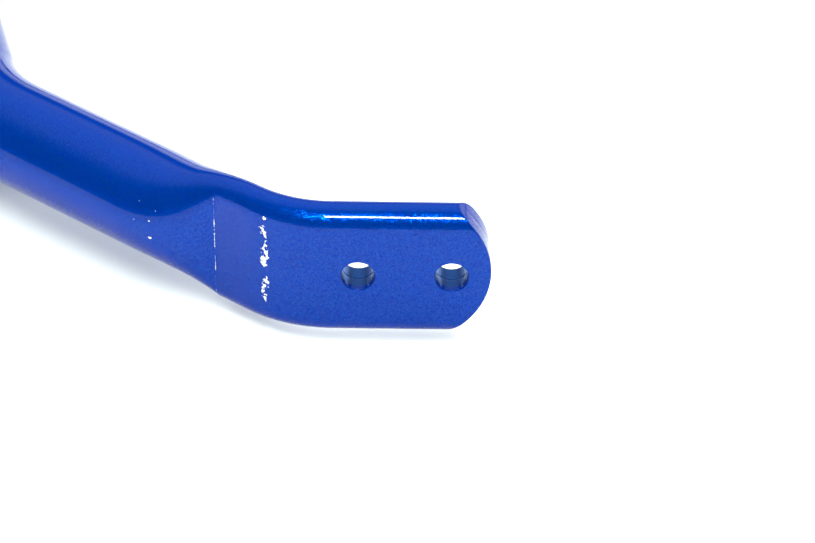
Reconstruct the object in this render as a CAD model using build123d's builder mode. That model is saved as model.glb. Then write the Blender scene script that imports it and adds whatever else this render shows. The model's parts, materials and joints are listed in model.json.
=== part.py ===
from build123d import *
from math import cos, pi, radians, sin
import os

# Tubular anti-roll bar with pressed, two-hole ends, its bushes, brackets and locating collars.
# The torsion section lies along Y. Both arms point along +X. Z is up.
# The origin is at the middle of the bar, on the plane that the lowest faces touch.
# Lengths are in millimetres, angles in degrees.

# Bar
TUBE_DIAMETER = 34.0
TUBE_WALL = 5.75
BORE_DIAMETER = TUBE_DIAMETER - 2 * TUBE_WALL
ARM_ANGLE = 37.3            # plan angle between an arm and the flattened end
END_SPREAD = 1000.0         # between the mid-planes of the two flattened ends
SETBACK_ANGLE = 16.0        # plan angle between the torsion section and the setback
SETBACK_RADIUS = 55.0       # centreline radius where the torsion section turns into the setback
SETBACK_STRAIGHT = 70.0     # between the setback's two bends
SHOULDER_RADIUS = 55.0      # centreline radius where the setback turns into the arm
CRANK_RADIUS = 40.0         # radius where the arm turns into the flattened end
ARM_STRAIGHT = 100.5        # between the shoulder and the crank
PRESSED_LENGTH = 11.2       # flat stretch of the arm before the crank
TRANSITION_LENGTH = 36.0    # from round to flat
PLATE_STRAIGHT = 49.7       # from the crank to the tip
TIP_RADIUS = 28.0           # outline arc of the tip
LINK_HOLE_DIAMETER = 10.5
LINK_HOLE_SPACING = 29.0
OUTER_HOLE_TO_TIP = 12.3
HALF_GAP = 0.3              # between the two bar halves, at mid-span

# A round tube pressed flat keeps the length of its wall's middle line.
PLATE_THICKNESS = 2 * TUBE_WALL
PLATE_HEIGHT = pi * BORE_DIAMETER / 2 + PLATE_THICKNESS
FOLD_SLOT = 0.8             # what is left of the bore where the walls meet
FOLD_SLOT_HEIGHT = pi * BORE_DIAMETER / 2

# Bush
BUSH_Y = 275.0
BUSH_RADIUS = 24.0
BUSH_WIDTH = 38.0
BUSH_LIP = 2.5              # axial width of each end lip
BUSH_LIP_RADIUS = 26.5
BUSH_CLEARANCE = 0.05       # radial, on the bar
BUSH_SLIT = 0.6
MOUNT_HEIGHT = 22.0         # from the bar's axis up to the mounting plane
GREASE_GROOVE_DEPTH = 1.0
GREASE_GROOVE_WIDTH = 6.0
GREASE_HOLE_DIAMETER = 3.0
NIPPLE_POCKET_DIAMETER = 7.0
NIPPLE_POCKET_DEPTH = 3.0

# Bracket
STRAP_THICKNESS = 3.0
STRAP_SIDE_PLAY = 0.2       # between the strap and each lip of the bush
STRAP_WIDTH = BUSH_WIDTH - 2 * BUSH_LIP - 2 * STRAP_SIDE_PLAY
FLANGE_REACH = 54.0         # from the bar's axis to the end of a flange
FLANGE_BEND = 3.0           # inside radius of the flange bend
FLANGE_CORNER = 8.0
BOLT_SPACING = 82.0
BOLT_HOLE_DIAMETER = 11.0

# M10 hex bolt, spring washer and flat washer
BOLT_DIAMETER = 10.0
BOLT_SHANK_DIAMETER = 9.0   # plain shank, under the rolled thread's diameter
BOLT_LENGTH = 30.0
BOLT_HEAD_HEIGHT = 6.4
BOLT_ACROSS_FLATS = 16.0
BOLT_HEAD_CHAMFER = 0.7
BOLT_TIP_CHAMFER = 1.0
WASHER_HOLE_DIAMETER = 10.5
FLAT_WASHER_DIAMETER = 20.0
FLAT_WASHER_THICKNESS = 2.0
SPRING_WASHER_DIAMETER = 18.1
SPRING_WASHER_THICKNESS = 2.2
SPRING_WASHER_GAP = 1.2

# Two-piece locating collar
COLLAR_DIAMETER = 54.0
COLLAR_WIDTH = 13.0
COLLAR_SPLIT = 0.8
COLLAR_TO_BUSH = 0.4
COLLAR_CHAMFER = 0.8

# M5 socket-head clamp screw
SCREW_OFFSET = 22.0         # screw axis from the bar's axis
SCREW_DIAMETER = 5.0
SCREW_LENGTH = 16.0
SCREW_HEAD_DIAMETER = 8.5
SCREW_HEAD_HEIGHT = 5.0
SCREW_HEAD_CHAMFER = 0.4
SOCKET_ACROSS_FLATS = 4.0
SOCKET_DEPTH = 2.5
SCREW_SEAT = 7.5            # from the collar's split plane to the seat of the head
SEAT_DIAMETER = 9.0
THREAD_DEPTH = 10.5         # tapped hole, from the split plane

# M6 grease nipple
NIPPLE_THREAD_DIAMETER = 6.0
NIPPLE_THREAD_LENGTH = 5.0
NIPPLE_HEX = 7.0
NIPPLE_HEX_HEIGHT = 3.0
NIPPLE_NECK_RADIUS = 2.3
NIPPLE_BALL_RADIUS = 3.2
NIPPLE_HEIGHT = 9.5

# Places that follow from the sizes above
AXIS_Z = BUSH_RADIUS + STRAP_THICKNESS
ARM_HEADING = 90 - ARM_ANGLE        # from the torsion section
SHOULDER_TURN = ARM_HEADING - SETBACK_ANGLE
ARM_REACH = (
    SETBACK_RADIUS * (1 - cos(radians(SETBACK_ANGLE)))
    + SETBACK_STRAIGHT * sin(radians(SETBACK_ANGLE))
    + SHOULDER_RADIUS * (cos(radians(SETBACK_ANGLE)) - cos(radians(ARM_HEADING)))
    + ARM_STRAIGHT * cos(radians(ARM_ANGLE))
    + CRANK_RADIUS * sin(radians(ARM_ANGLE))
    + PLATE_STRAIGHT
)
ARM_SPREAD = (
    SETBACK_RADIUS * sin(radians(SETBACK_ANGLE))
    + SETBACK_STRAIGHT * cos(radians(SETBACK_ANGLE))
    + SHOULDER_RADIUS * (sin(radians(ARM_HEADING)) - sin(radians(SETBACK_ANGLE)))
    + ARM_STRAIGHT * sin(radians(ARM_ANGLE))
    + CRANK_RADIUS * (1 - cos(radians(ARM_ANGLE)))
)
AXIS_X = (FLANGE_REACH - ARM_REACH) / 2
TORSION_HALF = END_SPREAD / 2 - ARM_SPREAD
TUBE_STRAIGHT = ARM_STRAIGHT - PRESSED_LENGTH - TRANSITION_LENGTH
TIP_X = AXIS_X + ARM_REACH
OUTER_HOLE_X = TIP_X - OUTER_HOLE_TO_TIP
INNER_HOLE_X = OUTER_HOLE_X - LINK_HOLE_SPACING
FLANGE_Z = AXIS_Z + MOUNT_HEIGHT
WASHER_Z = FLANGE_Z - STRAP_THICKNESS - FLAT_WASHER_THICKNESS
SPRING_Z = WASHER_Z - SPRING_WASHER_THICKNESS
COLLAR_Y = BUSH_Y - BUSH_WIDTH / 2 - COLLAR_TO_BUSH - COLLAR_WIDTH / 2
STRAP_REAR_X = AXIS_X - BUSH_RADIUS - STRAP_THICKNESS

SIDES = {"right": -1, "left": 1}    # sign of Y
ENDS = {"front": 1, "rear": -1}     # sign of X

os.makedirs("parts", exist_ok=True)


def across(point, direction):
    """A section plane of the bar, with its local Y along world Z."""
    return Plane(origin=point, x_dir=Vector(direction).cross(Vector(0, 0, -1)), z_dir=direction)


# Bar. The right half is built once, and the left half mirrors it.
arm_direction = Vector(cos(radians(ARM_ANGLE)), -sin(radians(ARM_ANGLE)), 0)

with BuildPart() as right_bar_half:
    with BuildLine() as tube_path:
        torsion = Line((AXIS_X, -HALF_GAP / 2, AXIS_Z), (AXIS_X, -TORSION_HALF, AXIS_Z))
        setback_bend = JernArc(torsion @ 1, torsion % 1, SETBACK_RADIUS, SETBACK_ANGLE)
        setback = Line(setback_bend @ 1, (setback_bend @ 1) + (setback_bend % 1) * SETBACK_STRAIGHT)
        shoulder = JernArc(setback @ 1, setback % 1, SHOULDER_RADIUS, SHOULDER_TURN)
        arm = Line(shoulder @ 1, (shoulder @ 1) + arm_direction * TUBE_STRAIGHT)
    with BuildSketch(across(torsion @ 0, torsion % 0)):
        Circle(TUBE_DIAMETER / 2)
    sweep(path=tube_path.line)

    # Round to flat
    flat_start = (arm @ 1) + arm_direction * TRANSITION_LENGTH
    with BuildSketch(across(arm @ 1, arm_direction)):
        Circle(TUBE_DIAMETER / 2)
    with BuildSketch(across(flat_start, arm_direction)):
        SlotOverall(PLATE_HEIGHT, PLATE_THICKNESS, rotation=90)
    loft()

    # Flat stretch, crank and plate
    with BuildLine() as flat_path:
        pressed = Line(flat_start, flat_start + arm_direction * PRESSED_LENGTH)
        crank = JernArc(pressed @ 1, arm_direction, CRANK_RADIUS, ARM_ANGLE)
        Line(crank @ 1, (crank @ 1) + Vector(PLATE_STRAIGHT, 0, 0))
    with BuildSketch(across(flat_start, arm_direction)):
        SlotOverall(PLATE_HEIGHT, PLATE_THICKNESS, rotation=90)
    sweep(path=flat_path.line)

    # Rounded outline of the tip
    plate_plane = Plane.XZ.offset(END_SPREAD / 2)
    with BuildSketch(plate_plane):
        with Locations((TIP_X, AXIS_Z)):
            Rectangle(TIP_RADIUS, 2 * TIP_RADIUS)
        with Locations((TIP_X - TIP_RADIUS, AXIS_Z)):
            Circle(TIP_RADIUS, mode=Mode.SUBTRACT)
    extrude(amount=PLATE_THICKNESS, both=True, mode=Mode.SUBTRACT)

    # Link holes
    with BuildSketch(plate_plane):
        with Locations((INNER_HOLE_X, AXIS_Z), (OUTER_HOLE_X, AXIS_Z)):
            Circle(LINK_HOLE_DIAMETER / 2)
    extrude(amount=PLATE_THICKNESS, both=True, mode=Mode.SUBTRACT)

    # Bore, down to the slot where the pressed walls meet
    with BuildSketch(across(torsion @ 0, torsion % 0)):
        Circle(BORE_DIAMETER / 2)
    sweep(path=tube_path.line, mode=Mode.SUBTRACT)
    with BuildSketch(across(arm @ 1, arm_direction)):
        Circle(BORE_DIAMETER / 2)
    with BuildSketch(across(flat_start, arm_direction)):
        SlotOverall(FOLD_SLOT_HEIGHT, FOLD_SLOT, rotation=90)
    loft(mode=Mode.SUBTRACT)
right_bar_half.part.label = "right_bar_half"
export_step(right_bar_half.part, "parts/right_bar_half.step")

with BuildPart() as left_bar_half:
    mirror(right_bar_half.part, about=Plane.XZ)
left_bar_half.part.label = "left_bar_half"
export_step(left_bar_half.part, "parts/left_bar_half.step")


# Bushes: a D-shaped block, open to the bar through one slit, with a lip at each end
for side, sign in SIDES.items():
    bush_plane = Plane.XZ.offset(-sign * BUSH_Y)
    groove_half = BUSH_WIDTH / 2 - BUSH_LIP
    with BuildPart() as bush:
        with BuildSketch(bush_plane):
            with Locations((AXIS_X, AXIS_Z)):
                Circle(BUSH_LIP_RADIUS)
            with Locations((AXIS_X, AXIS_Z + MOUNT_HEIGHT / 2)):
                Rectangle(2 * BUSH_LIP_RADIUS, MOUNT_HEIGHT)
            with Locations((AXIS_X, FLANGE_Z + BUSH_LIP_RADIUS)):
                Rectangle(2 * BUSH_LIP_RADIUS, 2 * BUSH_LIP_RADIUS, mode=Mode.SUBTRACT)
        extrude(amount=BUSH_WIDTH / 2, both=True)

        # Seat of the strap, between the lips
        with BuildSketch(bush_plane):
            with Locations((AXIS_X, AXIS_Z)):
                Rectangle(3 * BUSH_LIP_RADIUS, 3 * BUSH_LIP_RADIUS)
                Circle(BUSH_RADIUS, mode=Mode.SUBTRACT)
            with Locations((AXIS_X, AXIS_Z + MOUNT_HEIGHT)):
                Rectangle(2 * BUSH_RADIUS, 2 * MOUNT_HEIGHT, mode=Mode.SUBTRACT)
        extrude(amount=groove_half, both=True, mode=Mode.SUBTRACT)

        # Bore, grease groove and slit
        with BuildSketch(bush_plane):
            with Locations((AXIS_X, AXIS_Z)):
                Circle(TUBE_DIAMETER / 2 + BUSH_CLEARANCE)
            with Locations((AXIS_X + BUSH_LIP_RADIUS, AXIS_Z)):
                Rectangle(2 * (BUSH_LIP_RADIUS - BORE_DIAMETER / 2), BUSH_SLIT)
        extrude(amount=BUSH_WIDTH / 2, both=True, mode=Mode.SUBTRACT)
        with BuildSketch(bush_plane):
            with Locations((AXIS_X, AXIS_Z)):
                Circle(TUBE_DIAMETER / 2 + GREASE_GROOVE_DEPTH)
        extrude(amount=GREASE_GROOVE_WIDTH / 2, both=True, mode=Mode.SUBTRACT)

        # Way in for the grease, from the rear
        rear_face = Plane(origin=(AXIS_X - BUSH_RADIUS, sign * BUSH_Y, AXIS_Z), z_dir=(-1, 0, 0))
        with Locations(rear_face):
            CounterBoreHole(
                GREASE_HOLE_DIAMETER / 2,
                NIPPLE_POCKET_DIAMETER / 2,
                NIPPLE_POCKET_DEPTH,
                depth=BUSH_RADIUS - BORE_DIAMETER / 2,
            )
    bush.part.label = f"{side}_bush"
    export_step(bush.part, f"parts/{bush.part.label}.step")


# Brackets: a strap bent round the bush, with two flanges flush with the bush's flat top
middle_radius = BUSH_RADIUS + STRAP_THICKNESS / 2
middle_z = FLANGE_Z - STRAP_THICKNESS / 2
bend_radius = FLANGE_BEND + STRAP_THICKNESS / 2
for side, sign in SIDES.items():
    with BuildPart() as bracket:
        with BuildSketch(Plane.XZ.offset(-sign * BUSH_Y)):
            with BuildLine():
                ThreePointArc(
                    (AXIS_X - middle_radius, AXIS_Z),
                    (AXIS_X, AXIS_Z - middle_radius),
                    (AXIS_X + middle_radius, AXIS_Z),
                )
                for end_sign in ENDS.values():
                    FilletPolyline(
                        (AXIS_X + end_sign * middle_radius, AXIS_Z),
                        (AXIS_X + end_sign * middle_radius, middle_z),
                        (AXIS_X + end_sign * FLANGE_REACH, middle_z),
                        radius=bend_radius,
                    )
            trace(line_width=STRAP_THICKNESS)
        extrude(amount=STRAP_WIDTH / 2, both=True)
        upright = bracket.edges().filter_by(Axis.Z).group_by(Axis.X)
        fillet(upright[0] + upright[-1], FLANGE_CORNER)
        with Locations((AXIS_X, sign * BUSH_Y, FLANGE_Z)):
            with GridLocations(BOLT_SPACING, 0, 2, 1):
                Hole(BOLT_HOLE_DIAMETER / 2, depth=STRAP_THICKNESS)
        with Locations(Plane(origin=(STRAP_REAR_X, sign * BUSH_Y, AXIS_Z), z_dir=(-1, 0, 0))):
            Hole(NIPPLE_THREAD_DIAMETER / 2, depth=2 * STRAP_THICKNESS)
    bracket.part.label = f"{side}_bracket"
    export_step(bracket.part, f"parts/{bracket.part.label}.step")


# Bolts and washers: from the head up, head, spring washer, flat washer, flange
for side, sign in SIDES.items():
    for end, end_sign in ENDS.items():
        bolt_x = AXIS_X + end_sign * BOLT_SPACING / 2
        bolt_y = sign * BUSH_Y
        with BuildPart() as bolt:
            with BuildSketch(Plane.XY.offset(SPRING_Z)):
                with Locations((bolt_x, bolt_y)):
                    RegularPolygon(BOLT_ACROSS_FLATS / 2, 6, major_radius=False)
            extrude(amount=-BOLT_HEAD_HEIGHT)
            chamfer(bolt.faces().sort_by(Axis.Z)[0].edges(), BOLT_HEAD_CHAMFER)
            with BuildSketch(Plane.XY.offset(SPRING_Z)):
                with Locations((bolt_x, bolt_y)):
                    Circle(BOLT_SHANK_DIAMETER / 2)
            extrude(amount=FLANGE_Z - SPRING_Z)
            with BuildSketch(Plane.XY.offset(FLANGE_Z)):
                with Locations((bolt_x, bolt_y)):
                    Circle(BOLT_DIAMETER / 2)
            extrude(amount=SPRING_Z + BOLT_LENGTH - FLANGE_Z)
            chamfer(bolt.faces().sort_by(Axis.Z)[-1].edges(), BOLT_TIP_CHAMFER)
        bolt.part.label = f"{side}_{end}_bolt"
        export_step(bolt.part, f"parts/{bolt.part.label}.step")

        with BuildPart() as spring_washer:
            with BuildSketch(Plane.XY.offset(SPRING_Z)):
                with Locations((bolt_x, bolt_y)):
                    Circle(SPRING_WASHER_DIAMETER / 2)
                    Circle(WASHER_HOLE_DIAMETER / 2, mode=Mode.SUBTRACT)
                with Locations((bolt_x, bolt_y - SPRING_WASHER_DIAMETER / 2)):
                    Rectangle(SPRING_WASHER_GAP, SPRING_WASHER_DIAMETER, mode=Mode.SUBTRACT)
            extrude(amount=SPRING_WASHER_THICKNESS)
        spring_washer.part.label = f"{side}_{end}_spring_washer"
        export_step(spring_washer.part, f"parts/{spring_washer.part.label}.step")

        with BuildPart() as flat_washer:
            with BuildSketch(Plane.XY.offset(WASHER_Z)):
                with Locations((bolt_x, bolt_y)):
                    Circle(FLAT_WASHER_DIAMETER / 2)
                    Circle(WASHER_HOLE_DIAMETER / 2, mode=Mode.SUBTRACT)
            extrude(amount=FLAT_WASHER_THICKNESS)
        flat_washer.part.label = f"{side}_{end}_flat_washer"
        export_step(flat_washer.part, f"parts/{flat_washer.part.label}.step")


# Collars: two equal halves, each with one screw through it and one tapped hole
for side, sign in SIDES.items():
    for end, end_sign in ENDS.items():
        collar_y = sign * COLLAR_Y
        with BuildPart() as collar_half:
            with BuildSketch(Plane.XZ.offset(-collar_y)):
                with Locations((AXIS_X, AXIS_Z)):
                    Circle(COLLAR_DIAMETER / 2)
                    Circle(TUBE_DIAMETER / 2, mode=Mode.SUBTRACT)
                with Locations((AXIS_X + end_sign * (COLLAR_SPLIT - COLLAR_DIAMETER) / 2, AXIS_Z)):
                    Rectangle(COLLAR_DIAMETER, COLLAR_DIAMETER, mode=Mode.SUBTRACT)
            extrude(amount=COLLAR_WIDTH / 2, both=True)
            rims = collar_half.edges().filter_by(GeomType.CIRCLE).group_by(SortBy.RADIUS)[-1]
            chamfer(rims, COLLAR_CHAMFER)
            screw_z = AXIS_Z + end_sign * SCREW_OFFSET
            outside = Plane(
                origin=(AXIS_X + end_sign * COLLAR_DIAMETER / 2, collar_y, screw_z),
                z_dir=(end_sign, 0, 0),
            )
            with Locations(outside):
                CounterBoreHole(
                    SCREW_DIAMETER / 2,
                    SEAT_DIAMETER / 2,
                    COLLAR_DIAMETER / 2 - SCREW_SEAT,
                    depth=COLLAR_DIAMETER / 2,
                )
            split_face = Plane(
                origin=(AXIS_X, collar_y, AXIS_Z - end_sign * SCREW_OFFSET),
                z_dir=(-end_sign, 0, 0),
            )
            with Locations(split_face):
                Hole(SCREW_DIAMETER / 2, depth=THREAD_DEPTH)
        collar_half.part.label = f"{side}_{end}_collar_half"
        export_step(collar_half.part, f"parts/{collar_half.part.label}.step")

        seat = Plane(
            origin=(AXIS_X + end_sign * SCREW_SEAT, collar_y, screw_z),
            z_dir=(end_sign, 0, 0),
        )
        with BuildPart() as collar_screw:
            with BuildSketch(seat):
                Circle(SCREW_HEAD_DIAMETER / 2)
            extrude(amount=SCREW_HEAD_HEIGHT)
            top = collar_screw.faces().sort_by(Axis.X)[-1 if end_sign > 0 else 0]
            chamfer(top.edges(), SCREW_HEAD_CHAMFER)
            with BuildSketch(seat.offset(SCREW_HEAD_HEIGHT)):
                RegularPolygon(SOCKET_ACROSS_FLATS / 2, 6, major_radius=False)
            extrude(amount=-SOCKET_DEPTH, mode=Mode.SUBTRACT)
            with BuildSketch(seat):
                Circle(SCREW_DIAMETER / 2)
            extrude(amount=-SCREW_LENGTH)
        collar_screw.part.label = f"{side}_{end}_collar_screw"
        export_step(collar_screw.part, f"parts/{collar_screw.part.label}.step")


# Grease nipples, pointing rearward out of each strap
for side, sign in SIDES.items():
    mouth = Plane(origin=(STRAP_REAR_X, sign * BUSH_Y, AXIS_Z), z_dir=(-1, 0, 0))
    with BuildPart() as grease_nipple:
        with BuildSketch(mouth):
            Circle(NIPPLE_THREAD_DIAMETER / 2)
        extrude(amount=-NIPPLE_THREAD_LENGTH)
        with BuildSketch(mouth):
            RegularPolygon(NIPPLE_HEX / 2, 6, major_radius=False)
        extrude(amount=NIPPLE_HEX_HEIGHT)
        with BuildSketch(mouth.offset(NIPPLE_HEX_HEIGHT)):
            Circle(NIPPLE_NECK_RADIUS)
        extrude(amount=NIPPLE_HEIGHT - NIPPLE_HEX_HEIGHT - NIPPLE_BALL_RADIUS)
        with Locations(mouth.offset(NIPPLE_HEIGHT - NIPPLE_BALL_RADIUS)):
            Sphere(NIPPLE_BALL_RADIUS)
    grease_nipple.part.label = f"{side}_grease_nipple"
    export_step(grease_nipple.part, f"parts/{grease_nipple.part.label}.step")
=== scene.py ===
import json
import math

import bmesh
import bpy
import numpy as np
from bpy.props import FloatProperty, FloatVectorProperty, PointerProperty
from mathutils import Matrix, Vector


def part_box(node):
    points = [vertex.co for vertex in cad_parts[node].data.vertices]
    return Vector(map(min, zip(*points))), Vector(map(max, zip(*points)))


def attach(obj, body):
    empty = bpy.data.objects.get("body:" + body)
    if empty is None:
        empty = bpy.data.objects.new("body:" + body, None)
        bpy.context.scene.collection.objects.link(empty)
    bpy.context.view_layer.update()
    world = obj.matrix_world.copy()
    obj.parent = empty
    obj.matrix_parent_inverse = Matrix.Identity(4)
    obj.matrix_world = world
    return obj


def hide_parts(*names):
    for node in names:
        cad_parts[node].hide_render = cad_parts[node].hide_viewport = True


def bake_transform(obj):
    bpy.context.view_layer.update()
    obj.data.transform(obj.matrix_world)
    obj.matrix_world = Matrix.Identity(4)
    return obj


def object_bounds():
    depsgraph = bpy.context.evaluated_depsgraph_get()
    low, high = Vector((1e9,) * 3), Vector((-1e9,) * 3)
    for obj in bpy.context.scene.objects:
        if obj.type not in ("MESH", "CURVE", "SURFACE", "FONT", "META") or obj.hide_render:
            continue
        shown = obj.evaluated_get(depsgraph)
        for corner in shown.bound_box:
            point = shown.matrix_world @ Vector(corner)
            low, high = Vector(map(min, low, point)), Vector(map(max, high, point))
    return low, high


bl_info = {
    "name": "Sway bar",
    "version": (1, 0, 0),
    "blender": (4, 5, 0),
    "location": "3D View > Sidebar > Sway bar",
    "description": "Tubular anti-roll bar with pressed ends, bushes, brackets and locating collars",
    "category": "Add Mesh",
}

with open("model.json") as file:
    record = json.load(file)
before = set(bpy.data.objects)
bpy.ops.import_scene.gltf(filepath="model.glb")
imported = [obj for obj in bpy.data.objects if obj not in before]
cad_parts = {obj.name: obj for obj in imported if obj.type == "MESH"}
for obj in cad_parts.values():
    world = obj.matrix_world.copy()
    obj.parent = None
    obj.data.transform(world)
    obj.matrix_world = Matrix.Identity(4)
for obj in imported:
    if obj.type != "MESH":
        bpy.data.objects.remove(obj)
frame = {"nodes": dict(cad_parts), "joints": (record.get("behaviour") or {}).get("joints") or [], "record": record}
CAD_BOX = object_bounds()
MM = 0.001
SIDES = ("right", "left")       # at -Y and at +Y
ENDS = ("front", "rear")        # at +X and at -X


# ---------------------------------------------------------------- what the frame says

MOUNTS = {mount["name"]: mount for mount in frame["record"]["mounts"]}
JOINTS = {joint["name"]: joint for joint in frame["joints"]}
INNER_HOLE = Vector(MOUNTS["right_inner_link_hole"]["pos_m"])
OUTER_HOLE = Vector(MOUNTS["right_outer_link_hole"]["pos_m"])
HOLE_RADIUS = MOUNTS["right_inner_link_hole"]["dims"]["r_mm"] * MM
PLATE_THICKNESS = MOUNTS["right_inner_link_hole"]["dims"]["length_mm"] * MM
AXIS = Vector(JOINTS["bar_twist"]["pos_m"])
BAR_LOW, BAR_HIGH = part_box("right_bar_half")


# ---------------------------------------------------------------- colours

def linear(hex_colour):
    """An sRGB hex colour as linear RGBA."""
    channels = [int(hex_colour[i:i + 2], 16) / 255 for i in (1, 3, 5)]
    return tuple(c / 12.92 if c <= 0.04045 else ((c + 0.055) / 1.055) ** 2.4 for c in channels) + (1.0,)


def colour(name, hex_colour, description):
    """A colour property with a hex default."""
    return FloatVectorProperty(
        name=name, description=description, subtype="COLOR", size=4, min=0, max=1,
        default=linear(hex_colour),
    )


def length(name, default, description):
    """A length property in metres."""
    return FloatProperty(name=name, description=description, default=default, min=0, unit="LENGTH")


# ---------------------------------------------------------------- settings

class SwayBarSizes(bpy.types.PropertyGroup):
    """Sizes of the bar's mesh. The frame gives its places."""
    tube_radius: length("Tube radius", 17 * MM, "Outside radius of the round tube")
    tube_wall: length("Tube wall", PLATE_THICKNESS / 2, "Wall thickness, half of the pressed end")
    arm_angle: FloatProperty(
        name="Arm angle", description="Plan angle between an arm and its pressed end",
        default=math.radians(37.3), unit="ROTATION",
    )
    setback_angle: FloatProperty(
        name="Setback angle", description="Plan angle between the torsion section and the setback",
        default=math.radians(16), unit="ROTATION",
    )
    setback_radius: length("Setback radius", 55 * MM, "Centreline radius of the first bend")
    setback_straight: length("Setback straight", 70 * MM, "Between the setback's two bends")
    shoulder_radius: length("Shoulder radius", 55 * MM, "Centreline radius of the second bend")
    crank_radius: length("Crank radius", 40 * MM, "Radius of the bend in the pressed end")
    pressed_length: length("Pressed length", 11.2 * MM, "Flat stretch before the crank")
    transition_length: length("Transition length", 36 * MM, "From round tube to flat")
    die_softness: length("Die softness", 0.35 * MM, "Rounding of the edge that the die leaves")
    crown: FloatProperty(
        name="Crown", description="Roundness of the transition's sides, from flat to elliptical",
        default=0.7, min=0, max=1, subtype="FACTOR",
    )
    arm_straight: length("Arm straight", 100.5 * MM, "Between the shoulder and the crank")
    tip_radius: length("Tip radius", 28 * MM, "Outline radius of the tip")
    tip_lift: length("Tip lift", 1.6 * MM, "Height of the tip's centre over the axis")
    # Where the row of painted glints on the crank's crease lies
    crank_line_offset: length("Crank line", 7.3 * MM, "From the crank's start to its row of chips")
    eased_edge: length("Eased edge", 10 * MM, "Half length over which the top edge rises to the plate")
    hole_rim: length("Hole rim", 0.35 * MM, "Rounding of the drilled edges under the paint")
    tip_rim: length("Tip rim", 0.45 * MM, "Rounding of the sheared edge under the paint")
    seam_depth: length("Seam depth", 0.15 * MM, "Groove where the two pressed walls meet")
    seam_width: length("Seam width", 0.9 * MM, "Width of that groove in the wall of a link hole")


class SwayBarColours(bpy.types.PropertyGroup):
    """Base colours of the finishes."""
    enamel: colour("Enamel", "#000876", "Blue enamel under the clear coat")
    flake: colour("Flake", "#0050AE", "Aluminium flake seen through the blue")
    overspray: colour("Overspray", "#1F4C92", "Steel under thin spray, inside the holes")
    # Near-white of the painted highlights: the glints on the creases at the die's edge and the crank, and a few
    # small pale spots
    primer: colour("Primer", "#F4F1E4", "Primer bared where the enamel has cracked")
    urethane: colour("Urethane", "#1B1B1D", "Cast polyurethane with graphite")
    zinc: colour("Zinc", "#B9BCC0", "Bright zinc plate")
    black_oxide: colour("Black oxide", "#17181A", "Hot black oxide on steel")
    yellow_zinc: colour("Yellow zinc", "#C9B46A", "Yellow passivated zinc")
    floor: colour("Floor", "#FAFBFC", "Paper sweep")
    card: colour("Card", "#0D0D10", "Matt black card")


# ---------------------------------------------------------------- node helper

def add_node(tree, kind, inputs=None, **settings):
    """Add a node, set its properties and fill its inputs with sockets to link or values to set."""
    node = tree.nodes.new(kind)
    for name, value in settings.items():
        setattr(node, name, value)
    for key, value in (inputs or {}).items():
        if isinstance(value, bpy.types.NodeSocket):
            tree.links.new(value, node.inputs[key])
        else:
            node.inputs[key].default_value = value
    return node


def new_material(name):
    """An empty material, its tree and the output node."""
    material = bpy.data.materials.new(name)
    material.use_nodes = True
    material.node_tree.nodes.clear()
    output = material.node_tree.nodes.new("ShaderNodeOutputMaterial")
    return material, material.node_tree, output


def fill_ramp(ramp, levels):
    """Set a colour ramp to grey levels, given as pairs of position and level in rising order."""
    while len(ramp.elements) < len(levels):
        ramp.elements.new(0.5)
    for stop, (position, level) in zip(ramp.elements, levels):
        stop.position = position
        stop.color = (level, level, level, 1.0)


# ---------------------------------------------------------------- materials

NOISE_SPAN = {"From Min": 0.3, "From Max": 0.7}     # a noise texture seldom leaves these values
FLAKE_SIZE = 0.27 * MM      # coarser than real flake, so that it shows
FLAKE_TILT = 0.3            # how far a flake leans, as a share of the surface's normal
SPRAY_CLOUD = 9 * MM        # unevenness from pass to pass of the gun
ORANGE_PEEL = 2.2 * MM
PLATING_CLOUD = 14 * MM     # uneven sheen of a plated part
GRAPHITE_MOTTLE = 3 * MM
MOULD_GRAIN = 0.7 * MM


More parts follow.
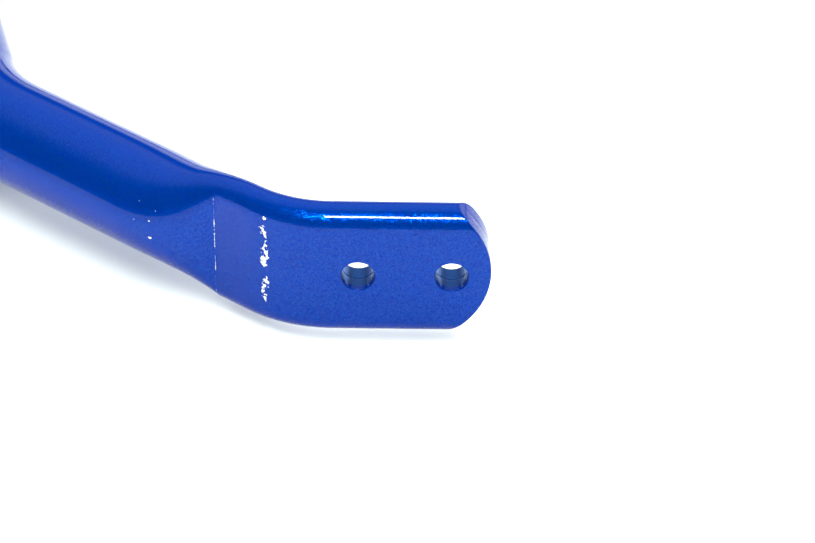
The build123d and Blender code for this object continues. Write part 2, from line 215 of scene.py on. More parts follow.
def flake_enamel(colours):
    """Blue metallic enamel, sprayed, under a glossy clear coat with a little orange peel.

    The flakes lean this way and that, which gives the blue a soft sheen and a fine sparkle under
    the sharper reflections of the clear coat.
    """
    material, tree, output = new_material("flake_enamel_clear_coated")
    place = add_node(tree, "ShaderNodeTexCoord").outputs["Object"]
    flakes = add_node(tree, "ShaderNodeTexVoronoi", {"Vector": place, "Scale": 1 / FLAKE_SIZE})
    tilt = add_node(
        tree, "ShaderNodeVectorMath", {0: flakes.outputs["Color"], 1: (0.5, 0.5, 0.5)},
        operation="SUBTRACT",
    )
    tilt = add_node(
        tree, "ShaderNodeVectorMath", {0: tilt.outputs[0], "Scale": FLAKE_TILT}, operation="SCALE"
    )
    surface = add_node(tree, "ShaderNodeNewGeometry")
    flake_normal = add_node(
        tree, "ShaderNodeVectorMath", {0: surface.outputs["Normal"], 1: tilt.outputs[0]}, operation="ADD"
    )
    flake_normal = add_node(
        tree, "ShaderNodeVectorMath", {0: flake_normal.outputs[0]}, operation="NORMALIZE"
    )

    # Each cell holds more flake or more pigment.
    pick = add_node(tree, "ShaderNodeSeparateColor", {"Color": flakes.outputs["Color"]})
    flake = add_node(
        tree, "ShaderNodeMapRange", {"Value": pick.outputs["Red"], "To Min": 0.16, "To Max": 0.58}
    )
    cloud = add_node(tree, "ShaderNodeTexNoise", {"Vector": place, "Scale": 1 / SPRAY_CLOUD, "Detail": 3})
    density = add_node(
        tree, "ShaderNodeMapRange",
        {"Value": cloud.outputs["Fac"], **NOISE_SPAN, "To Min": 0.94, "To Max": 1.06},
    )
    shade = add_node(
        tree, "ShaderNodeHueSaturation", {"Color": tuple(colours.enamel), "Value": density.outputs[0]}
    )
    paint = add_node(
        tree, "ShaderNodeMix", {0: flake.outputs[0], 6: shade.outputs[0], 7: tuple(colours.flake)},
        data_type="RGBA",
    )
    peel = add_node(tree, "ShaderNodeTexNoise", {"Vector": place, "Scale": 1 / ORANGE_PEEL, "Detail": 2})
    peel_bump = add_node(
        tree, "ShaderNodeBump", {"Height": peel.outputs["Fac"], "Strength": 0.25, "Distance": 0.03 * MM}
    )
    enamel = add_node(
        tree, "ShaderNodeBsdfPrincipled",
        {
            "Base Color": paint.outputs[2], "Metallic": flake.outputs[0], "Roughness": 0.22,
            "Specular IOR Level": 0.0, "Specular Tint": tuple(colours.flake),
            "Normal": flake_normal.outputs[0], "Coat Weight": 1.0, "Coat Roughness": 0.03,
            "Coat IOR": 1.23, "Coat Normal": peel_bump.outputs[0],
        },
    )

    # Inside the drilled holes the spray is thin and the steel shows through.
    along = add_node(tree, "ShaderNodeAttribute", attribute_name="along").outputs["Fac"]
    drilled = add_node(tree, "ShaderNodeMath", {0: along, 1: BORE_MARK / 2}, operation="LESS_THAN")
    overspray = add_node(
        tree, "ShaderNodeBsdfPrincipled",
        {"Base Color": tuple(colours.overspray), "Metallic": 0.9, "Roughness": 0.32,
         "Normal": peel_bump.outputs[0]},
    )
    painted = add_node(
        tree, "ShaderNodeMixShader", {0: drilled.outputs[0], 1: enamel.outputs[0], 2: overspray.outputs[0]}
    )

    # Painted highlights: ragged near-white rows along the die's edge and the crank stand for glints of light on
    # the creases, with a few small pale spots.
    primer = add_node(
        tree, "ShaderNodeBsdfPrincipled", {"Base Color": tuple(colours.primer), "Roughness": 0.6}
    )
    bare = chips(tree, place, along)
    chipped = add_node(tree, "ShaderNodeMixShader", {0: bare, 1: painted.outputs[0], 2: primer.outputs[0]})
    tree.links.new(chipped.outputs[0], output.inputs["Surface"])
    return material


# Rows of painted glints on the creases: height over the axis in mm, and share of the row's full width there
DIE_CHIPS = (
    (-20.4, 0.3), (-18.9, 0.5), (-17.4, 0.1), (-11.2, 0.1), (-10.2, 0.6), (-7.4, 0.65), (-4.6, 0.6),
    (-4.0, 0.0), (-2.0, 0.1), (-1.2, 0.75), (8.6, 0.85), (9.8, 0.15), (15.8, 0.15), (17.2, 0.5),
    (18.2, 0.0),
)
CRANK_CHIPS = (
    (-22.6, 0.5), (-21.6, 0.0), (-14.2, 0.0), (-12.2, 0.5), (-9.0, 0.72), (-6.0, 0.6), (-4.8, 0.3),
    (-3.6, 0.0), (-0.8, 0.0), (0.2, 0.85), (2.8, 0.95), (6.6, 0.55), (9.2, 0.4), (10.2, 0.0), (10.8, 0.0),
    (11.6, 0.65), (14.6, 0.7), (15.6, 0.0), (17.6, 0.0), (18.2, 0.5), (19.0, 0.0),
)
ROW_REACH = 24 * MM         # a row stays within this height over and under the axis
ROW_WANDER = 5 * MM         # length over which a row's middle wanders
# Small pale spots: distance past the die's edge, height over the axis, half length and half height in mm
NICKS = (
    (-19.2, -1.4, 0.8, 0.45), (-19.5, 4.8, 0.25, 0.25), (-24.2, 9.9, 0.12, 0.12),
    (-24.8, 3.8, 0.12, 0.12), (-17.9, 8.6, 0.12, 0.12),
)
NICK_GRAIN = 0.6 * MM


def chip_row(tree, place, along, height, centre, half_width, grain, row):
    """Factor of painted highlight in one ragged row of glints across the plate."""
    level = add_node(
        tree, "ShaderNodeMapRange", {"Value": height, "From Min": -ROW_REACH, "From Max": ROW_REACH}
    )
    share = add_node(tree, "ShaderNodeValToRGB", {"Fac": level.outputs[0]})
    fill_ramp(share.color_ramp, [((up * MM + ROW_REACH) / (2 * ROW_REACH), width) for up, width in row])
    wander = add_node(tree, "ShaderNodeTexNoise", {"Vector": place, "Scale": 1 / ROW_WANDER, "Detail": 2})
    middle = add_node(
        tree, "ShaderNodeMapRange",
        {"Value": wander.outputs["Fac"], **NOISE_SPAN,
         "To Min": centre - 0.6 * half_width, "To Max": centre + 0.6 * half_width},
    )
    away = add_node(tree, "ShaderNodeMath", {0: along, 1: middle.outputs[0]}, operation="SUBTRACT")
    away = add_node(tree, "ShaderNodeMath", {0: away.outputs[0]}, operation="ABSOLUTE")

    # The painted highlight shows where the ragged reach from the row's middle is over the distance from it.
    breaks = add_node(
        tree, "ShaderNodeTexNoise", {"Vector": place, "Scale": 1 / grain, "Detail": 4, "Roughness": 0.65}
    )
    ragged = add_node(
        tree, "ShaderNodeMapRange",
        {"Value": breaks.outputs["Fac"], "From Min": 0.36, "From Max": 0.62,
         "To Min": -0.7 * half_width, "To Max": 1.9 * half_width},
    )
    reach = add_node(
        tree, "ShaderNodeMath", {0: ragged.outputs[0], 1: share.outputs["Color"]}, operation="MULTIPLY"
    )
    depth = add_node(tree, "ShaderNodeMath", {0: reach.outputs[0], 1: away.outputs[0]}, operation="SUBTRACT")
    torn = add_node(
        tree, "ShaderNodeMapRange", {"Value": depth.outputs[0], "From Min": 0.0, "From Max": 0.06 * MM}
    )
    return torn.outputs[0]


def nick(tree, place, spot, centre, half_length, half_rise):
    """Factor of pale colour in one small spot, with a broken outline."""
    away = add_node(tree, "ShaderNodeVectorMath", {0: spot, 1: centre}, operation="SUBTRACT")
    away = add_node(
        tree, "ShaderNodeVectorMath", {0: away.outputs[0], 1: (1 / half_length, 1 / half_rise, 0)},
        operation="MULTIPLY",
    )
    away = add_node(tree, "ShaderNodeVectorMath", {0: away.outputs[0]}, operation="LENGTH")
    outline = add_node(tree, "ShaderNodeTexNoise", {"Vector": place, "Scale": 1 / NICK_GRAIN, "Detail": 3})
    depth = add_node(
        tree, "ShaderNodeMath", {0: outline.outputs["Fac"], 1: away.outputs["Value"]}, operation="SUBTRACT"
    )
    torn = add_node(
        tree, "ShaderNodeMapRange", {"Value": depth.outputs[0], "From Min": -0.3, "From Max": -0.15}
    )
    return torn.outputs[0]


def chips(tree, place, along):
    """Factor of near-white on the outboard faces: two rows of painted glints, on the creases at the die's edge and
    the crank, and a few small pale spots.
    """
    stations = bar_stations(bpy.context.scene.sway_bar_sizes)
    height = add_node(tree, "ShaderNodeAttribute", attribute_name="height").outputs["Fac"]
    outboard = add_node(tree, "ShaderNodeAttribute", attribute_name="outboard").outputs["Fac"]
    spot = add_node(tree, "ShaderNodeCombineXYZ", {"X": along, "Y": height}).outputs[0]
    factors = [
        chip_row(tree, place, along, height, stations["die_line"], 0.13 * MM, 0.7 * MM, DIE_CHIPS),
        chip_row(tree, place, along, height, stations["crank_line"], 1.0 * MM, 1.2 * MM, CRANK_CHIPS),
    ]
    for past, up, half_length, half_rise in NICKS:
        centre = (stations["die_line"] + past * MM, up * MM, 0)
        factors.append(nick(tree, place, spot, centre, half_length * MM, half_rise * MM))
    total = factors[0]
    for factor in factors[1:]:
        total = add_node(tree, "ShaderNodeMath", {0: total, 1: factor}, operation="MAXIMUM").outputs[0]
    facing = add_node(tree, "ShaderNodeMath", {0: outboard, 1: 0.5}, operation="GREATER_THAN")
    outside = add_node(tree, "ShaderNodeMath", {0: total, 1: facing.outputs[0]}, operation="MULTIPLY")
    return outside.outputs[0]


def plated_steel(name, base, metallic, roughness, grain):
    """Plated or oxide-blacked steel: fine grain from the pickled surface, with uneven sheen."""
    material, tree, output = new_material(name)
    place = add_node(tree, "ShaderNodeTexCoord").outputs["Object"]
    fine = add_node(tree, "ShaderNodeTexNoise", {"Vector": place, "Scale": 1 / grain, "Detail": 4})
    broad = add_node(tree, "ShaderNodeTexNoise", {"Vector": place, "Scale": 1 / PLATING_CLOUD, "Detail": 3})
    sheen = add_node(
        tree, "ShaderNodeMapRange",
        {"Value": broad.outputs["Fac"], **NOISE_SPAN,
         "To Min": roughness * 0.8, "To Max": roughness * 1.25},
    )
    brightness = add_node(
        tree, "ShaderNodeMapRange",
        {"Value": broad.outputs["Fac"], **NOISE_SPAN, "To Min": 0.86, "To Max": 1.1},
    )
    tint = add_node(
        tree, "ShaderNodeHueSaturation", {"Color": tuple(base), "Value": brightness.outputs[0]}
    )
    bump = add_node(
        tree, "ShaderNodeBump", {"Height": fine.outputs["Fac"], "Strength": 0.35, "Distance": 0.05 * MM}
    )
    steel = add_node(
        tree, "ShaderNodeBsdfPrincipled",
        {"Base Color": tint.outputs[0], "Metallic": metallic, "Roughness": sheen.outputs[0],
         "Normal": bump.outputs[0]},
    )
    tree.links.new(steel.outputs[0], output.inputs["Surface"])
    return material


def cast_urethane(colours):
    """Cast polyurethane: satin, faintly mottled with graphite, with soft mould texture."""
    material, tree, output = new_material("cast_polyurethane")
    place = add_node(tree, "ShaderNodeTexCoord").outputs["Object"]
    mottle = add_node(
        tree, "ShaderNodeTexNoise", {"Vector": place, "Scale": 1 / GRAPHITE_MOTTLE, "Detail": 5}
    )
    brightness = add_node(
        tree, "ShaderNodeMapRange",
        {"Value": mottle.outputs["Fac"], **NOISE_SPAN, "To Min": 0.75, "To Max": 1.3},
    )
    tint = add_node(
        tree, "ShaderNodeHueSaturation", {"Color": tuple(colours.urethane), "Value": brightness.outputs[0]}
    )
    skin = add_node(tree, "ShaderNodeTexNoise", {"Vector": place, "Scale": 1 / MOULD_GRAIN, "Detail": 3})
    bump = add_node(
        tree, "ShaderNodeBump", {"Height": skin.outputs["Fac"], "Strength": 0.3, "Distance": 0.06 * MM}
    )
    rubber = add_node(
        tree, "ShaderNodeBsdfPrincipled",
        {"Base Color": tint.outputs[0], "Roughness": 0.46, "IOR": 1.5, "Normal": bump.outputs[0]},
    )
    tree.links.new(rubber.outputs[0], output.inputs["Surface"])
    return material


def paper_sweep(colours):
    """White paper: matt, with no grain large enough to see."""
    material, tree, output = new_material("white_paper_sweep")
    paper = add_node(
        tree, "ShaderNodeBsdfPrincipled",
        {"Base Color": tuple(colours.floor), "Roughness": 0.85, "Specular IOR Level": 0.2},
    )
    tree.links.new(paper.outputs[0], output.inputs["Surface"])
    return material


def black_card(colours):
    """Matt black card: gives back next to no light, so what mirrors it turns dark."""
    material, tree, output = new_material("matt_black_card")
    card = add_node(
        tree, "ShaderNodeBsdfPrincipled", {"Base Color": tuple(colours.card), "Roughness": 0.9}
    )
    tree.links.new(card.outputs[0], output.inputs["Surface"])
    return material


# ---------------------------------------------------------------- mesh helpers

WELD = 0.001 * MM       # vertices closer than this become one


def show(name, mesh):
    """Link a mesh to the scene, smooth-shaded, with vertex normals weighted by face area."""
    count = len(mesh.vertices)
    normals = np.zeros((count, 3))
    for polygon in mesh.polygons:
        polygon.use_smooth = True
        normals[list(polygon.vertices)] += np.array(polygon.normal) * polygon.area
    sizes = np.linalg.norm(normals, axis=1, keepdims=True)
    mesh.normals_split_custom_set_from_vertices(normals / np.maximum(sizes, 1e-20))
    piece = bpy.data.objects.new(name, mesh)
    bpy.context.scene.collection.objects.link(piece)
    return piece


# ---------------------------------------------------------------- bar

BORE_MARK = -1.0        # stands in for the distance along the bar, on the walls of the link holes
RING_FLAT = 32          # steps along one flat side of a section
RING_FOLD = 16          # steps round one fold
QUARTER = (RING_FLAT + RING_FOLD) // 2
RING = 4 * QUARTER
PRESS_CURVE = 2.2       # power by which the transition thins towards the die
CROWN_CURVE = 5         # power by which its crown fades, late and quickly
DIE_BAND = 1.5 * MM     # close rings on both sides of the die's edge
PATCH = 7.3 * MM        # half width of the square of faces that a link hole is cut from
PATCH_COLUMNS = 12      # steps along that square
PATCH_ROWS = 7          # ring steps from a hole's centre to its square's edge
END_ROWS = 4            # steps from the outer square to the sheared end


def bar_stations(sizes):
    """Distances along the bar's centreline, from mid-span, in metres."""
    arm_heading = math.pi / 2 - sizes.arm_angle
    spread = (
        sizes.setback_radius * math.sin(sizes.setback_angle)
        + sizes.setback_straight * math.cos(sizes.setback_angle)
        + sizes.shoulder_radius * (math.sin(arm_heading) - math.sin(sizes.setback_angle))
        + sizes.arm_straight * math.sin(sizes.arm_angle)
        + sizes.crank_radius * (1 - math.cos(sizes.arm_angle))
    )
    torsion = -INNER_HOLE.y - spread
    setback = torsion + sizes.setback_radius * sizes.setback_angle
    shoulder = setback + sizes.setback_straight
    arm = shoulder + sizes.shoulder_radius * (arm_heading - sizes.setback_angle)
    crank = arm + sizes.arm_straight
    die_line = crank - sizes.pressed_length
    return {
        "torsion": torsion, "setback": setback, "shoulder": shoulder, "arm": arm,
        "transition": die_line - sizes.transition_length, "die_line": die_line, "crank": crank,
        "crank_line": crank + sizes.crank_line_offset, "plate": crank + sizes.crank_radius * sizes.arm_angle,
    }


def fold_radius(sizes, station, stations):
    """Half of the section's thickness: the tube's radius, then the pressed plate's."""
    drop = sizes.tube_radius - sizes.tube_wall
    way = max(0.0, (station - stations["transition"]) / sizes.transition_length)
    over_plate = drop - drop * way ** PRESS_CURVE
    return sizes.tube_wall + (over_plate + math.hypot(over_plate, sizes.die_softness)) / 2


def ring_points(sizes, radius, crown=0.0):
    """A tube's section squashed to two folds of this radius, its wall keeping its length.

    Crown 0 leaves the sides flat between the folds, and 1 makes the section an ellipse.
    Returns (outboard, up) pairs, from the middle of the outboard side upwards.
    """
    wall = sizes.tube_wall
    plate_flat = math.pi * (sizes.tube_radius - wall)
    plate_quarter = plate_flat / 2 + wall * math.pi / 2
    flat = max(0.0, math.pi * (sizes.tube_radius - radius))
    quarter = flat / 2 + radius * math.pi / 2
    corner = []
    for step in range(QUARTER + 1):
        if step <= RING_FLAT // 2:
            plate_travel = plate_flat * step / RING_FLAT
        else:
            plate_travel = plate_flat / 2 + wall * math.pi * (step - RING_FLAT // 2) / RING_FOLD
        travel = plate_travel / plate_quarter * quarter
        if travel <= flat / 2:
            corner.append((radius, travel))
        else:
            turn = (travel - flat / 2) / radius
            corner.append((radius * math.cos(turn), flat / 2 + radius * math.sin(turn)))
    top = flat / 2 + radius
    corner = [
        (out + crown * (radius * math.sqrt(max(0.0, 1 - (up / top) ** 2)) - out), up) for out, up in corner
    ]
    upper = corner + [(-out, up) for out, up in corner[-2::-1]]
    return upper + [(out, -up) for out, up in upper[-2:0:-1]]


def half_height(sizes, station, stations):
    """Half of the section's height when its wall keeps its length."""
    radius = fold_radius(sizes, station, stations)
    return radius + math.pi / 2 * (sizes.tube_radius - radius)


def eased_top(sizes, station, stations):
    """Height of the top edge over the axis, without the corner that the die leaves below."""
    reach = sizes.eased_edge
    nearby = [half_height(sizes, station + reach * step / 8, stations) for step in range(-8, 9)]
    return sum(nearby) / len(nearby)


def turned(point, heading, radius, angle):
    """Plan position and heading after a bend towards +X."""
    after = heading + angle
    step = Vector((math.cos(heading) - math.cos(after), math.sin(heading) - math.sin(after)))
    return point + radius * step, after


def centreline(sizes, station, stations):
    """Plan position and heading at a distance along the right half.

    Heading 0 is towards -Y, and a right angle is towards +X.
    """
    point, heading = Vector((AXIS.x, 0.0)), 0.0
    reached = 0.0
    for end, radius in (
        ("torsion", None), ("setback", sizes.setback_radius), ("shoulder", None),
        ("arm", sizes.shoulder_radius), ("crank", None), ("plate", sizes.crank_radius),
    ):
        travel = min(station, stations[end]) - reached
        if radius:
            point, heading = turned(point, heading, radius, travel / radius)
        else:
            point = point + travel * Vector((math.sin(heading), -math.cos(heading)))
        reached += travel
        if station <= stations[end]:
            return point, heading
    return point + (station - reached) * Vector((math.sin(heading), -math.cos(heading))), heading


def spaced(start, end, step):
    """Evenly spaced values from start up to, but not including, end."""
    count = max(1, round((end - start) / step))
    return [start + (end - start) * i / count for i in range(count)]


class BarMesh:
    """Vertices, their marks for the finish, and faces of one half of the bar."""

    def __init__(self):
        self.points = []
        self.marks = []
        self.faces = []

    def add(self, point, along, outboard):
        """Add a vertex with its distance along the bar and how far it is outboard. Returns its number."""
        self.points.append(Vector(point))
        self.marks.append((along, outboard, self.points[-1].z - AXIS.z))
        return len(self.points) - 1

    def bridge(self, first, second, closed=True):
        """Quads between two rows of vertices."""
        count = len(first)
        for i in range(count if closed else count - 1):
            after = (i + 1) % count
            self.faces.append((first[i], first[after], second[after], second[i]))


def tube_rows(bar, sizes, stations):
    """Rings of the tube, the transition, the pressed flat and the crank. Returns the last ring."""
    die_start, die_end = stations["die_line"] - DIE_BAND, stations["die_line"] + DIE_BAND
    places, reached = [], 0.0
    for end, spacing in (
        (stations["torsion"], 12 * MM), (stations["setback"], 2.4 * MM), (stations["shoulder"], 6 * MM),
        (stations["arm"], 2 * MM), (stations["transition"], 3 * MM), (die_start, 0.9 * MM),
        (die_end, 0.25 * MM), (stations["crank"], 1.5 * MM), (stations["plate"], 1.3 * MM),
    ):
        places += spaced(reached, end, spacing)
        reached = end
    places.append(reached)
    previous = None
    for station in places:
        centre, heading = centreline(sizes, station, stations)
        outward = Vector((-math.cos(heading), -math.sin(heading)))
        radius = fold_radius(sizes, station, stations)
        lift = eased_top(sizes, station, stations) / half_height(sizes, station, stations)
        way = (station - stations["transition"]) / sizes.transition_length
        crown = sizes.crown * (1 - way ** CROWN_CURVE) if 0 < way < 1 else 0.0
        ring = []
        for out, up in ring_points(sizes, radius, crown):
            side = centre + outward * out
            height = up * lift if up > 0 else up
            ring.append(bar.add((side.x, side.y, AXIS.z + height), station, out / radius))
        if previous:
            bar.bridge(previous, ring)
        previous = ring
    return previous


def rounded_corner(edge, side, end, radius, share):
    """A point on a fillet between two faces that meet at edge, share 0 on side and 1 on end."""
    centre = edge - (side + end) * (radius / (1 + side.dot(end)))
    return centre + side.slerp(end, share) * radius


def tip_corners(sizes, section, tip_centre):
    """Where each lengthwise line meets the sheared end, and the ways the side and the end face there."""
    corners = []
    for out, up in section:
        rise = up - sizes.tip_lift
        reach = math.sqrt(sizes.tip_radius ** 2 - rise ** 2)
        edge = Vector((tip_centre + reach, INNER_HOLE.y - out, AXIS.z + up))
        fold_rise = math.copysign(max(abs(up) - section[RING_FLAT // 2][1], 0.0), up)
        side = Vector((0, -out, fold_rise)).normalized()
        end = Vector((reach, 0, rise)) / sizes.tip_radius
        corners.append((edge, side, end))
    return corners


def plate_columns():
    """X of the plate's columns of vertices, and the number of the one where each hole's square starts.

    The ring where the crank ends takes the place of the first column.
    """
    columns, squares = [], []
    for hole_x in (INNER_HOLE.x, OUTER_HOLE.x):
        if columns:
            columns += spaced(columns[-1], hole_x - PATCH, 1.2 * MM)[1:]
        squares.append(len(columns))
        columns += [hole_x - PATCH + 2 * PATCH * i / PATCH_COLUMNS for i in range(PATCH_COLUMNS + 1)]
    return columns, squares


def plate_rows(bar, sizes, stations, first):
    """The drilled plate and its rounded tip, from the ring where the crank ends."""
    section = ring_points(sizes, sizes.tube_wall)
    start_x = bar.points[first[0]].x
    tip_centre = BAR_HIGH[0] - sizes.tip_radius
    corners = tip_corners(sizes, section, tip_centre)
    last = [rounded_corner(*corner, sizes.tip_rim, 0.0) for corner in corners]
    columns, squares = plate_columns()

    # Over and under the squares the lines stretch or shrink to suit the rounded tip.
    square_top = section[PATCH_ROWS][1]
    square_length = last[PATCH_ROWS].x - start_x
    places = [(x, 0.0) for x in columns[1:]]
    places += [(columns[-1], (row + 1) / END_ROWS) for row in range(END_ROWS)]
    grid = [first]
    for x, share in places:
        ring = []
        for (out, up), end_point in zip(section, last):
            stretch = (end_point.x - start_x) / square_length if abs(up) > square_top else 1.0
            level = Vector((start_x + (x - start_x) * stretch, INNER_HOLE.y - out, AXIS.z + up))
            point = level.lerp(end_point, share)
            along = stations["plate"] + point.x - start_x
            ring.append(bar.add(point, along, out / sizes.tube_wall))
        grid.append(ring)

    # Skin, leaving out the holes' squares on both flat sides
    for number, (column, next_column) in enumerate(zip(grid, grid[1:])):
        at_hole = any(square <= number < square + PATCH_COLUMNS for square in squares)
        for i in range(RING):
            on_front = (i + PATCH_ROWS) % RING < 2 * PATCH_ROWS
            on_back = (i + PATCH_ROWS - RING // 2) % RING < 2 * PATCH_ROWS
            if not (at_hole and (on_front or on_back)):
                after = (i + 1) % RING
                bar.faces.append((column[i], column[after], next_column[after], next_column[i]))
    for hole_x, square in zip((INNER_HOLE.x, OUTER_HOLE.x), squares):
        drilled_hole(bar, sizes, stations, grid, square, hole_x)

    # Tip: rounding, then the sheared end with the seam between the two walls
    previous = grid[-1]
    for share in (0.25, 0.5, 0.75, 1.0):
        ring = []
        for corner in corners:
            point = rounded_corner(*corner, sizes.tip_rim, share)
            ring.append(bar.add(point, stations["plate"] + point.x - start_x, 0.0))
        bar.bridge(previous, ring)
        previous = ring
    sheared_end(bar, sizes, previous, tip_centre)


def drilled_hole(bar, sizes, stations, grid, first_column, hole_x):
    """A link hole through the plate, from square to square, with rounded rims and the seam half way."""
    last_column = first_column + PATCH_COLUMNS
    loop = [(column, -PATCH_ROWS) for column in range(first_column, last_column)]
    loop += [(last_column, row) for row in range(-PATCH_ROWS, PATCH_ROWS)]
    loop += [(column, PATCH_ROWS) for column in range(last_column, first_column, -1)]
    loop += [(first_column, row) for row in range(PATCH_ROWS, -PATCH_ROWS, -1)]
    front = [grid[column][row % RING] for column, row in loop]
    back = [grid[column][(RING // 2 - row) % RING] for column, row in loop]

    # Share of the way from the square to the circle, the circle's radius and its depth
    rim, seam, groove = sizes.hole_rim, sizes.tube_wall, sizes.seam_width / 2
    profile = [(share, HOLE_RADIUS + rim, 0.0) for share in (0.4, 0.8, 1.0)]
    for degrees in (22.5, 45, 67.5, 90):
        angle = math.radians(degrees)
        profile.append((1.0, HOLE_RADIUS + rim * (1 - math.sin(angle)), rim * (1 - math.cos(angle))))
    profile += [
        (1.0, HOLE_RADIUS, (rim + seam - groove) / 2),
        (1.0, HOLE_RADIUS, seam - groove),
        (1.0, HOLE_RADIUS + 0.6 * sizes.seam_depth, seam - 0.45 * groove),
    ]
    far_side = [(share, radius, 2 * seam - depth) for share, radius, depth in reversed(profile)]
    profile.append((1.0, HOLE_RADIUS + sizes.seam_depth, seam))

    corners = [bar.points[vertex] for vertex in front]
    previous = front
    for share, radius, depth in profile + far_side:
        ring = []
        for corner in corners:
            angle = math.atan2(corner.z - AXIS.z, corner.x - hole_x)
            circle = Vector((hole_x + radius * math.cos(angle), 0, AXIS.z + radius * math.sin(angle)))
            point = Vector((corner.x, 0, corner.z)).lerp(circle, share)
            point.y = corners[0].y + depth
            if rim < depth < 2 * seam:
                ring.append(bar.add(point, BORE_MARK, 0.0))
            else:
                ring.append(bar.add(point, stations["plate"], 1 - depth / seam))
        bar.bridge(previous, ring)
        previous = ring
    bar.bridge(previous, back)


# Vertices across the sheared end, as shares of its half width, and how deep each is in the seam
SEAM_PROFILE = (
    (0.8, 0.0), (0.45, 0.0), (0.22, 0.0), (0.1, 0.55), (0.0, 1.0), (-0.1, 0.55), (-0.22, 0.0),
    (-0.45, 0.0), (-0.8, 0.0),
)
# Along the seam, heights are shares of the tube's radius and wall together.
SEAM_END = 0.9
BORE_TRACE = 0.78       # where the folds keep a trace of the bore
TRACE_REACH = 0.12      # how far that trace reaches up and down
CLOSED_SEAM = 0.35      # share of the seam's depth where the walls meet
OPEN_TRACE = 0.6        # share that the trace adds


def sheared_end(bar, sizes, ring, tip_centre):
    """Rows across the end face, with a groove that opens where the folds keep a trace of the bore."""
    rows = []
    for i in range(1 - QUARTER, QUARTER):
        right, left = ring[i % RING], ring[(RING // 2 - i) % RING]
        half_width = INNER_HOLE.y - bar.points[right].y
        up = bar.points[right].z - AXIS.z
        angle = math.asin((up - sizes.tip_lift) / sizes.tip_radius)
        height = abs(up) / (sizes.tube_radius + sizes.tube_wall)
        opening = CLOSED_SEAM + OPEN_TRACE * max(0.0, 1 - abs(height - BORE_TRACE) / TRACE_REACH)
        groove = sizes.seam_depth * opening if height < SEAM_END else 0.0
        row = [right]
        for share, depth in SEAM_PROFILE:
            reach = sizes.tip_radius - groove * depth
            level = AXIS.z + sizes.tip_lift + reach * math.sin(angle)
            place = (tip_centre + reach * math.cos(angle), INNER_HOLE.y - share * half_width, level)
            row.append(bar.add(place, 0.0, 0.0))
        rows.append(row + [left])
    for first, second in zip(rows, rows[1:]):
        bar.bridge(first, second, closed=False)
    for row, apex in ((rows[0], ring[-QUARTER % RING]), (rows[-1], ring[QUARTER])):
        for vertex, vertex_after in zip(row, row[1:]):
            bar.faces.append((vertex, vertex_after, apex))


class SWAYBAR_OT_bar(bpy.types.Operator):
    """Build the bar as one tube in place of its two halves"""
    bl_idname = "sway_bar.bar"
    bl_label = "Bar"

    def execute(self, context):
        sizes = context.scene.sway_bar_sizes
        stations = bar_stations(sizes)
        half = BarMesh()
        plate_rows(half, sizes, stations, tube_rows(half, sizes, stations))
        count = len(half.points)
        points = half.points + [Vector((point.x, -point.y, point.z)) for point in half.points]
        faces = half.faces + [tuple(vertex + count for vertex in reversed(face)) for face in half.faces]
        mesh = bpy.data.meshes.new("bar_tube")
        mesh.from_pydata([tuple(point) for point in points], [], faces)
        for index, name in enumerate(("along", "outboard", "height")):
            values = np.array([mark[index] for mark in half.marks] * 2, np.float32)
            mesh.attributes.new(name, "FLOAT", "POINT").data.foreach_set("value", values)
        work = bmesh.new()
        work.from_mesh(mesh)
        bmesh.ops.remove_doubles(work, verts=work.verts, dist=WELD)
        bmesh.ops.recalc_face_normals(work, faces=work.faces)
        open_edges = sum(1 for edge in work.edges if len(edge.link_faces) != 2)
        work.to_mesh(mesh)
        work.free()
        if open_edges:
            raise RuntimeError(f"the bar's mesh has {open_edges} open edges")
        bar = show("bar_tube", mesh)
        bar.data.materials.append(flake_enamel(context.scene.sway_bar_colours))
        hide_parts("right_bar_half", "left_bar_half")
        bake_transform(bar)
        return {"FINISHED"}


# ---------------------------------------------------------------- hardware

THREAD_PITCH = 1.5 * MM         # M10 coarse
THREAD_CREST = 5.0 * MM
THREAD_ROOT = 4.15 * MM
THREAD_STEPS = 24               # round one turn
THREAD_INSIDE = THREAD_ROOT - 0.3 * MM      # the ridge starts inside the shank
POINT_LENGTH = 0.8 * MM         # plain end of a bolt, past its thread
FLAT_ANGLE = math.radians(1)    # faces that differ by less are one face
SHARP_ANGLE = math.radians(28)  # edges that turn by more are rounded


def roll_thread(work, centre, start, end):
    """Cut the shank between two heights down to the thread's root and wind a ridge round it."""
    for vertex in work.verts:
        arm = Vector((vertex.co.x - centre.x, vertex.co.y - centre.y, 0))
        if vertex.co.z > start - 0.01 * MM and arm.length > THREAD_ROOT:
            arm.length = THREAD_ROOT
            vertex.co = Vector((centre.x, centre.y, vertex.co.z)) + arm
    # Ridge profile: radius, then height in pitches
    profile = (
        (THREAD_INSIDE, 0.08), (THREAD_ROOT, 0.1), (THREAD_CREST, 0.45), (THREAD_CREST, 0.58),
        (THREAD_ROOT, 0.93), (THREAD_INSIDE, 0.95),
    )
    turns = (end - start) / THREAD_PITCH - 1
    count = round(turns * THREAD_STEPS)
    rows = []
    for step in range(count + 1):
        angle = math.tau * step / THREAD_STEPS
        # The ridge rises over its first half turn and sinks over its last.
        fade = min(1.0, step / THREAD_STEPS * 2, (count - step) / THREAD_STEPS * 2)
        row = []
        for radius, level in profile:
            reach = THREAD_INSIDE + (radius - THREAD_INSIDE) * max(fade, 0.05)
            height = start + THREAD_PITCH * (step / THREAD_STEPS + level)
            place = (centre.x + reach * math.cos(angle), centre.y + reach * math.sin(angle), height)
            row.append(work.verts.new(place))
        rows.append(row)
    for first, second in zip(rows, rows[1:]):
        for i in range(len(profile)):
            after = (i + 1) % len(profile)
            work.faces.new((first[i], second[i], second[after], first[after]))
    work.faces.new(rows[0])
    work.faces.new(reversed(rows[-1]))


